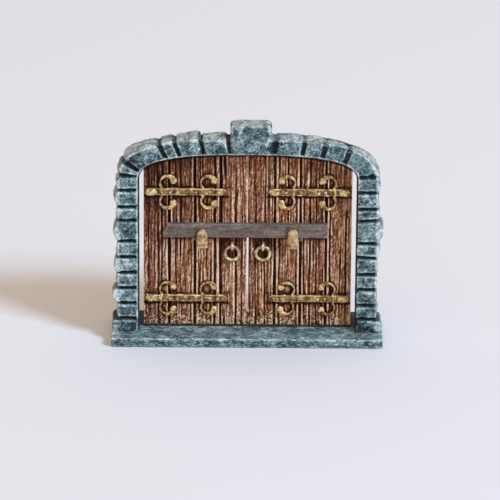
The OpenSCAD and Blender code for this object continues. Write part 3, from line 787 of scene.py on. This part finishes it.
def leaf_shape(side):
    """Rings in Y and Z carried across the leaf: up the front, over the top and down the back.

    Above the bar the leaves' meeting edges lean together, so that daylight shows only below it.
    """
    x = np.linspace(LEAF_INNER - MEETING_EDGE, LEAF_EDGE, LEAF_COLUMNS)
    v = np.linspace(0, 1, LEAF_ROWS)
    plank = np.floor((x - LEAF_INNER) / (LEAF_EDGE - LEAF_INNER) * PLANKS)
    foot = LEAF_LOW[2] + 0.03 + 0.12 * chance(np.clip(plank, 0, PLANKS - 1), 3 + side)
    top = arch_height(x, LEAF_EDGE + SHOULDER, LEAF_TOP, LEAF_TOP - SPRING, LEAF_POWER)
    grid_x = np.repeat(x[:, None], LEAF_ROWS, 1)
    grid_z = foot[:, None] * (1 - v) + top[:, None] * v
    front, number = plank_height(grid_x, grid_z, 0, side)
    back, _ = plank_height(grid_x, grid_z, 1, side)
    soften = 0.18 * (np.exp((foot[:, None] - grid_z) / 0.25) + np.exp((grid_z - top[:, None]) / 0.25))

    def both_faces(front_value, back_value):
        return np.concatenate([front_value, back_value[:, ::-1]], 1)

    ring_y = both_faces(LEAF_FRONT - front + soften, LEAF_BACK + back - soften)
    ring_z = both_faces(grid_z, grid_z)
    near_middle = np.clip(1 - (x[:, None] - LEAF_INNER) / 4, 0, 1)
    lean = 0.27 * smooth(ring_z, BAR_LOW[2] + 2.5, BAR_LOW[2] + 5.5) * near_middle
    ring = grid(side * (x[:, None] - lean), ring_y, ring_z)
    height = both_faces(front, back)
    crest = both_faces(crests(front), crests(back))
    number = both_faces(number, number)
    from_foot = ring_z - foot[:, None]
    # Painted highlight along the left leaf's meeting edge and painted shade along the right leaf's.
    seam_light_and_shade = 0.7 if side < 0 else -0.9
    sides = np.exp(-(LEAF_EDGE - x) / 0.3) + seam_light_and_shade * np.exp(-(x - x[0]) / 0.22)
    relief = 0.47 + 0.85 * (height + 0.2) + 2.4 * crest
    relief = relief + 0.60 * sides[:, None] + 0.25 * np.exp(-from_foot / 0.4)
    lip = arch_height(np.minimum(x, JAMB - 0.01), JAMB, LIP_TOP, ARCH_RISE, ARCH_POWER)[:, None]
    on_front = (np.arange(2 * LEAF_ROWS) < LEAF_ROWS)[None]
    # Painted shade on the leaf's front face: a dark band just under the arch's lip and the shade round
    # the fittings; dark holds both.
    shade_under_lip = smooth(ring_z, lip - 2.5, lip - 2.15)
    dark = 0.7 * shade_under_lip + 0.75 * painted_fitting_shade(np.abs(ring[..., 0]), ring_z)
    tone = 0.6 * chance(number + 9 * side, 17) + 0.7 * (1 - (x[:, None] - LEAF_INNER) / LEAF_EDGE)
    tone = tone - 0.8 * smooth(ring_z, 36, 46) * smooth(side * -x[:, None], 2, 12)
    return shaped(ring, relief - dark * on_front, tone=tone, scuff=1 - smooth(from_foot, 2.0, 9.0))


for side, name in ((-1, "left"), (1, "right")):
    make_piece(f"{name}_planks", leaf_shape(side), f"{name}_door", f"{name}_leaf", WOOD)

# %% [markdown]
# ## Strap hinges
# A strap is a flat bar with a hammered face and four arms that curl into C-scrolls. The bar is a
# rounded square outline carried along X, whose height follows the strap: it narrows at each neck and
# rounds off at the inner end, and a knob sits near the outer end. An arm is a flattened tube carried
# along an arc, thin where it leaves the bar and thick where it meets its ball.

# %% Straps, arms and balls
def tube(centre, width, depth, around, seed, hammer=0.06):
    """A flattened tube along points in the XZ plane. Its section is width wide and depth thick."""
    ahead = np.gradient(centre, axis=0)
    ahead /= np.linalg.norm(ahead, axis=1, keepdims=True)
    out = np.stack([ahead[:, 2], np.zeros(len(ahead)), -ahead[:, 0]], 1)
    loop = square_loop(around, around, 3.2)
    facing = loop_normals(loop, 3.2)
    ring = centre[:, None] + out[:, None] * (loop[:, 0] * width[:, None] / 2)[..., None]
    ring[..., 1] += loop[:, 1] * depth[:, None] / 2
    normal = out[:, None] * facing[:, 0][None, :, None]
    normal[..., 1] += facing[:, 1]
    dents = rough(ring, 1.1, 2, seed)
    ring = ring + normal * (hammer * 2 * dents)[..., None]
    return shaped(ring, 0.72 + 0.6 * dents - 0.50 * smooth(loop[:, 1], -0.2, 0.8))


def ball(centre, radius, depth, seed, hammer=0.10, squareness=2.0, stretch=1.0):
    """A flattened, hammered ball: circles, or rounded squares, from the front pole to the back one.

    stretch makes it longer in X.
    """
    angle = np.linspace(0.06, math.pi - 0.06, 18)[:, None]
    turn = np.linspace(0, 2 * math.pi, 28, endpoint=False) + 0.3
    across, up = np.cos(turn), np.sin(turn)
    reach = (np.abs(across) ** squareness + np.abs(up) ** squareness) ** (1 / squareness)
    ring = grid(np.sin(angle) * across / reach, -np.cos(angle), np.sin(angle) * up / reach)
    size = np.array([radius * stretch, depth, radius])
    dents = rough(ring * size + centre, 0.9, 2, seed)
    front = -ring[..., 1]
    ring = centre + ring * size * (1 + hammer / radius * 2 * dents)[..., None]
    return shaped(ring, 0.56 + 0.34 * front + 0.6 * dents)


NECK_PLACES = (4.2, 9.6, 14.2, 17.2, 22.8)


def strap_shape(node, side, seed, arm):
    """The bar, its four arms with their balls, the bands that cross it, its rivets and its knob.

    arm scales how wide the arms and the balls are.
    """
    low, high = box_mm(node)
    middle_z = (low[2] + high[2]) / 2
    outer_x = max(abs(low[0]), abs(high[0]))
    inner_x = min(abs(low[0]), abs(high[0]))
    steps = 90
    along = np.linspace(0, 1, steps)
    x = outer_x + (inner_x - outer_x) * along
    necks = sum(hump(outer_x - x - place, 0.32) for place in NECK_PLACES)
    half = 1.22 + 0.04 * np.cos(along * 37 + seed) + 0.03 * np.cos(along * 71) - 0.14 * necks
    half = half * np.clip(np.sqrt((1 - along) / 0.07), 0.12, 1) * np.clip(np.sqrt(along / 0.02), 0.5, 1)
    loop = square_loop(12, 8, 4.5)
    facing = loop_normals(loop, 4.5)
    thick = 0.95 + 0.12 * np.cos(along * 29 + 2 * seed)[:, None]
    ring = grid(side * x[:, None], LEAF_FRONT + 0.25 + (loop[:, 1] - 1) * thick / 2,
                middle_z + loop[:, 0] * half[:, None])
    dents = rough(ring, (1.5, 1.2, 1.1), 3, seed)
    ring[..., 1] += facing[:, 1] * 0.24 * dents
    ring[..., 2] += facing[:, 0] * 0.14 * dents
    ridge = smooth(np.abs(loop[:, 0]), 0.60, 0.85) * smooth(-loop[:, 1], 0.5, 0.9)
    panel = chance(np.floor((outer_x - x) / 2.3), seed)[:, None] - 0.5
    relief = 0.50 + 0.6 * dents + 0.42 * ridge + 0.30 * panel - 0.4 * smooth(loop[:, 1], -0.4, 0.6)
    shapes = [shaped(ring, relief - 0.45 * necks[:, None] * (1 - ridge))]
    for number, place in enumerate(SCROLL_PLACES):
        scroll_x = outer_x - place
        for lift in (-1, 1):
            angle = np.radians(np.linspace(226, 20, 44))
            radius = SCROLL_RADIUS * (1 + 0.05 * np.cos(angle + number + lift))
            centre = grid(side * (scroll_x - radius * np.cos(angle)), LEAF_FRONT - 0.36,
                          middle_z + lift * (SCROLL_RISE + radius * np.sin(angle)))
            grow = np.linspace(0, 1, 44)
            width = arm * (0.74 + 0.36 * smooth(grow, 0.30, 0.70)) + 0.85 * smooth(grow, 0.66, 1.0)
            depth = 0.85 + 0.22 * smooth(grow, 0.3, 0.9)
            shapes.append(tube(centre, width, depth, 6, seed + 3 * number + lift))
            tip = centre[-1] + np.array([side * 0.1, -0.02, -0.15 * lift])
            tip_seed = seed + 5 * number + lift + 60
            shapes.append(ball(tip, 1.15 * arm ** 0.4, 0.58, tip_seed, 0.06, 2.3))
        up = np.linspace(-1.75, 1.75, 14)
        band = grid(side * (scroll_x + 1.62 + 0.28 * np.cos(up * 0.9)),
                    LEAF_FRONT - 0.36 - 0.42 * np.cos(up * 0.85), middle_z + up)
        widths, depths = np.full(14, 0.86 * arm), np.full(14, 0.6)
        shapes.append(tube(band, widths, depths, 6, seed + 80 + number, 0.03))
        for near in (-3.3, -1.0 + 0.5 * number):
            rivet = np.array([side * (scroll_x + near), LEAF_FRONT - 0.70, middle_z + 0.1 * near])
            shapes.append(ball(rivet, 0.58, 0.34, seed + 90 + number, 0.08))
    knob = np.array([side * (outer_x - 2.0), LEAF_FRONT - 0.82, middle_z])
    shapes.append(ball(knob, 1.28, 0.62, seed + 99, 0.10, 2.4, 1.6))
    return joined(shapes)


ARM_SIZE = {"upper": 1.0, "lower": 0.84}
for index, (side, door, level) in enumerate([(-1, "left", "upper"), (-1, "left", "lower"),
                                             (1, "right", "upper"), (1, "right", "lower")]):
    node = f"{door}_{level}_strap"
    strap = strap_shape(node, side, 100 + 17 * index, ARM_SIZE[level])
    make_piece(f"{node}_scrolled", strap, f"{door}_door", node, STRAP_GOLD)

# %% [markdown]
# ## The bar and its hooks
# The bar is a plain batten with one end cut at a slant. Each hook is a bent strip: a plate on the
# leaf, a shelf under the bar and a front plate that rises over the bar's lower half. One strip carried
# along its bend would pinch at the corners, so plate, shelf and back plate are separate closed shapes
# that run into each other. The front plate's outline is carried up along Z, as wide as it is there.

# %% The bar
def bar_shape():
    """A rounded square outline carried along X, with a slanted left end."""
    steps, power, span = 150, 9, 53
    loop = square_loop(16, 26, power)
    facing = loop_normals(loop, power)
    t = np.linspace(0, 1, steps)
    middle, half = (BAR_LOW + BAR_HIGH) / 2, (BAR_HIGH - BAR_LOW) / 2
    z = middle[2] + loop[:, 1] * half[2] * 0.99
    slant = 1.6 * smooth((z - BAR_LOW[2]) / (2 * half[2]), 0.35, 1.0)
    ring = grid((BAR_LOW[0] + slant) * (1 - t[:, None]) + BAR_HIGH[0] * t[:, None],
                middle[1] + loop[:, 0] * half[1] * 0.98, z)
    scratches = rough(ring, (7, 0.8, 0.8), 3, 55)
    dents = rough(ring, 3.0, 2, 57)
    ring[..., 1:] += facing * (0.10 * scratches + 0.10 * dents - 0.05)[..., None]
    edge = smooth(np.abs(loop[:, 0]), 0.75, 0.98) * smooth(np.abs(loop[:, 1]), 0.9, 0.99)
    low_edge = smooth(-loop[:, 0], 0.4, 0.8) * smooth(-loop[:, 1], 0.88, 0.96)
    ends = np.exp(-np.minimum(t, 1 - t) * span / 0.3)[:, None]
    # Painted shadow of each hook on the bar, just to its left and below its top.
    hook_shadow = 0
    for node in ("left_bar_hook", "right_bar_hook"):
        low, high = box_mm(node)
        beside = hump(ring[..., 0] - (low[0] + high[0]) / 2 + 1.9, 0.9)
        hook_shadow = hook_shadow + beside * smooth(high[2] + 0.9 - ring[..., 2], 0, 1.2)
    relief = 0.42 + 0.5 * scratches + 0.2 * dents + 0.4 * edge + 0.5 * low_edge + 0.5 * ends
    return shaped(ring, relief - 0.45 * hook_shadow)


make_piece("worn_bar", bar_shape(), "bar", "locking_bar", DARK_BAR)

# %% The hooks
PLATE_HALF, PLATE_GAP, PLATE_THICK = 1.65, 0.2, 0.9


def hook_shape(side, node, pointed):
    """A plate whose width follows its outline, then shelf, back plate and two curled prongs."""
    low, high = box_mm(node)
    middle_x = (low[0] + high[0]) / 2
    plate_y = BAR_LOW[1] - PLATE_GAP - PLATE_THICK / 2
    foot, tip = low[2], high[2]
    z = np.linspace(foot, tip, 60)
    to_tip = np.clip((tip - z) / (1.5 if pointed else 1.7), 0, 1)
    half = PLATE_HALF * (to_tip ** 0.62 if pointed else np.sqrt(1 - (1 - to_tip) ** 2))
    half = np.maximum(half, 0.12) + 0.24 * np.exp(-(z - foot) / 0.35)
    half = half - 0.12 * hump(z - foot - 1.5, 0.5)
    loop = square_loop(14, 6, 5)
    crown = 0.25 * (1 - loop[:, 0] ** 2) * (loop[:, 1] < 0)
    ring = grid(middle_x + loop[:, 0] * half[:, None], plate_y + loop[:, 1] * 0.42 - crown, z[:, None])
    dents = rough(ring, 1.6, 2, 70 + side)
    ring[..., 1] += np.where(loop[:, 1] < 0.5, 0.12 * dents, 0)
    ring[..., 1] = np.maximum(ring[..., 1], low[1] - 0.25)
    edge = smooth(np.abs(loop[:, 0]), 0.8, 0.98) + np.exp(-(tip - z) / 0.6)[:, None]
    band = hump(z - foot - 0.95, 0.14)[:, None]
    glint = hump(tip - z - 1.1, 0.5)[:, None] * hump(loop[:, 0], 0.4)
    relief = 0.52 + 0.5 * dents + 0.25 * edge - 0.4 * smooth(loop[:, 1], 0.2, 0.9)
    shapes = [shaped(ring, relief - 0.4 * band + 0.45 * glint)]
    shelf_top, wall = BAR_LOW[2] - 0.05, LEAF_FRONT + 0.3
    for seed, narrow, wide, near, bottom, top in (
            (75, 1.6, 1.6, plate_y, shelf_top - 0.9, shelf_top),
            (76, 1.8, 2.0, LEAF_FRONT - 0.5, foot + 0.3, shelf_top - 0.1)):
        shapes.append(rough_block((middle_x - wide, middle_x + wide, near, wall, bottom),
                                  (middle_x - narrow, middle_x + narrow, near, wall, top),
                                  seed=seed, along=8, around=8, chip=0.03))
    reach = (high[0] - low[0]) / 2 - 2.5
    for turn in (-1, 1):
        curl = np.linspace(0, 1, 26)
        bend = np.radians(200) * smooth(curl, 0.45, 1)
        out = 1.6 + reach * np.minimum(curl / 0.5, 1) + 0.5 * np.sin(bend)
        curl_up = 0.5 * (1 - np.cos(bend)) * (1 if turn * side > 0 else -1)
        centre = grid(middle_x + turn * out, LEAF_FRONT - 0.35, shelf_top - 1.3 + curl_up + 0.3 * curl)
        width = 0.56 - 0.14 * curl
        shapes.append(tube(centre, width, width, 4, 77 + turn, 0.03))
    return joined(shapes)


for side, door, pointed in ((-1, "left", True), (1, "right", False)):
    node = f"{door}_bar_hook"
    hook = hook_shape(side, node, pointed)
    make_piece(f"{node}_bent", hook, f"{door}_door", node, HOOK_GOLD)

# %% [markdown]
# ## Pull rings
# A ring is bent from wire and hammered, so it is a torus whose wire has flats and swellings. The
# staple is a bow of wire with both ends in the leaf, so it is a tube along a leg, a half circle and a
# leg. A bent curve with a bevel would do too, but it would have no dents.

# %% Rings and staples
def ring_shape(node, seed):
    """Circles of wire carried round a circle, closed in both directions."""
    low, high = box_mm(node)
    middle = (low + high) / 2
    wire = (high[1] - low[1]) / 2
    thick = 0.52
    radius = (high[0] - low[0]) / 2 - thick
    turn = np.linspace(0, 2 * math.pi, 96, endpoint=False)
    round_wire = np.linspace(0, 2 * math.pi, 24, endpoint=False)
    out = grid(np.sin(turn), 0.0, np.cos(turn))[:, None]
    centre = middle + out * radius
    swelling = 1 + 0.06 * np.cos(3 * turn + seed)
    ring = centre + out * (np.cos(round_wire) * thick * swelling[:, None])[..., None]
    ring[..., 1] += np.sin(round_wire) * wire * 0.95
    dents = rough(ring, 0.9, 2, seed)
    away = ring - centre
    front = -away[..., 1] / wire
    ring = centre + away * (1 + 0.16 * dents)[..., None]
    return shaped(ring, 0.42 + 0.25 * front + 0.7 * dents, wrap=True)


def staple_shape(node, seed):
    """An oval wire that leaves the leaf, bows round the ring and comes back to the leaf."""
    low, high = box_mm(node)
    middle = (low + high) / 2
    radius = (high[2] - low[2]) / 2 - 0.4
    bow_y = low[1] + 0.4 + radius
    angle = np.linspace(-math.pi / 2, math.pi / 2, 40)
    steps = 12
    leg = np.linspace(LEAF_FRONT + 0.3, bow_y, steps, endpoint=False)
    y = np.concatenate([leg, bow_y - radius * np.cos(angle), leg[::-1]])
    z = middle[2] + radius * np.concatenate([-np.ones(steps), np.sin(angle), np.ones(steps)])
    centre = grid(middle[0], y, z)
    ahead = np.gradient(centre, axis=0)
    ahead /= np.linalg.norm(ahead, axis=1, keepdims=True)
    out = grid(0.0, ahead[:, 2], -ahead[:, 1])
    turn = np.linspace(0, 2 * math.pi, 20, endpoint=False)
    size = 0.38
    ring = centre[:, None] + out[:, None] * (np.sin(turn) * size)[None, :, None]
    ring[..., 0] += np.cos(turn) * size * 1.25
    return shaped(ring, 0.55 + 0.6 * rough(ring, 0.8, 2, seed))


for door, seed in (("left", 5), ("right", 9)):
    make_piece(f"{door}_ring_hammered", ring_shape(f"{door}_pull_ring", seed), f"{door}_ring",
               f"{door}_pull_ring", RING_GOLD)
    make_piece(f"{door}_staple_bow", staple_shape(f"{door}_ring_staple", seed), f"{door}_door",
               f"{door}_ring_staple", STAPLE_GOLD)

# %% [markdown]
# ## Pivot pins
# The four wire pins keep their CAD shape, because they are plain drawn wire. They get a brass paint.

# %% Pins
def pin_paint():
    paint = Paint("pin_brass_wire", roughness=0.4, metallic=0.9)
    drawn = paint.noise(0.2, 2, (1, 1, 12))
    colour = paint.ramp(drawn, [(0.3, (120, 98, 52)), (0.7, (190, 164, 100))])
    return paint.finish(colour, drawn, 0.02)


PIN = pin_paint()
for name, node in frame["nodes"].items():
    if name.endswith("_pin"):
        node.data.materials.clear()
        node.data.materials.append(PIN)
        node.data.shade_smooth()
print("pins painted")

# %% [markdown]
# ## Floor, light and camera
# The floor is a large pale sheet, so the horizon is out of view. One soft, cool light stands to the
# right and in front. The room all round is warm, so the long shadow to the left is tan.

# %% Floor
def pale_floor():
    mesh = bpy.data.meshes.new("floor")
    size = 3.0
    corners = [(-size, -size, 0), (size, -size, 0), (size, size, 0), (-size, size, 0)]
    mesh.from_pydata(corners, [], [(0, 1, 2, 3)])
    floor = bpy.data.objects.new("floor", mesh)
    bpy.context.scene.collection.objects.link(floor)
    paint = Paint("pale_table", roughness=0.9)
    paint.shader.inputs["Base Color"].default_value = paint_colour(228, 227, 233)
    mesh.materials.append(paint.material)


pale_floor()

# %% Light
def area_light(name, place, target, size, power, colour):
    """A square soft light at place that faces target, in metres and watts."""
    data = bpy.data.lights.new(name, "AREA")
    data.size = size
    data.energy = power
    data.color = colour
    light = bpy.data.objects.new(name, data)
    light.location = place
    light.rotation_euler = (Vector(target) - Vector(place)).to_track_quat("-Z", "Y").to_euler()
    bpy.context.scene.collection.objects.link(light)


area_light("key", (2.52, -2.04, 2.52), (0, 0, 0.03), 1.0, 154.0, (0.58, 0.78, 1.0))
world = bpy.data.worlds.new("warm_room")
world.use_nodes = True
world.node_tree.nodes["Background"].inputs["Color"].default_value = (0.70, 0.59, 0.48, 1)
world.node_tree.nodes["Background"].inputs["Strength"].default_value = 1.0
bpy.context.scene.world = world
bpy.context.scene.view_settings.view_transform = "Standard"

# %% Camera
ELEVATION, ROLL = math.radians(20), math.radians(0.4)
DISTANCE = 1.40
VIEW_WIDTH = 0.1625
data = bpy.data.cameras.new("camera")
data.sensor_width = 36
data.lens = 36 * DISTANCE / VIEW_WIDTH
data.clip_start, data.clip_end = 0.01, 20
camera = bpy.data.objects.new("camera", data)
aim = Vector((0.0008, 0.0, 0.0291))
back = Vector((0, -math.cos(ELEVATION), math.sin(ELEVATION)))
camera.location = aim + back * DISTANCE
turned = (-back).to_track_quat("-Z", "Y").to_matrix() @ Matrix.Rotation(ROLL, 3, "Z")
camera.rotation_euler = turned.to_euler()
bpy.context.scene.collection.objects.link(camera)
bpy.context.scene.camera = camera
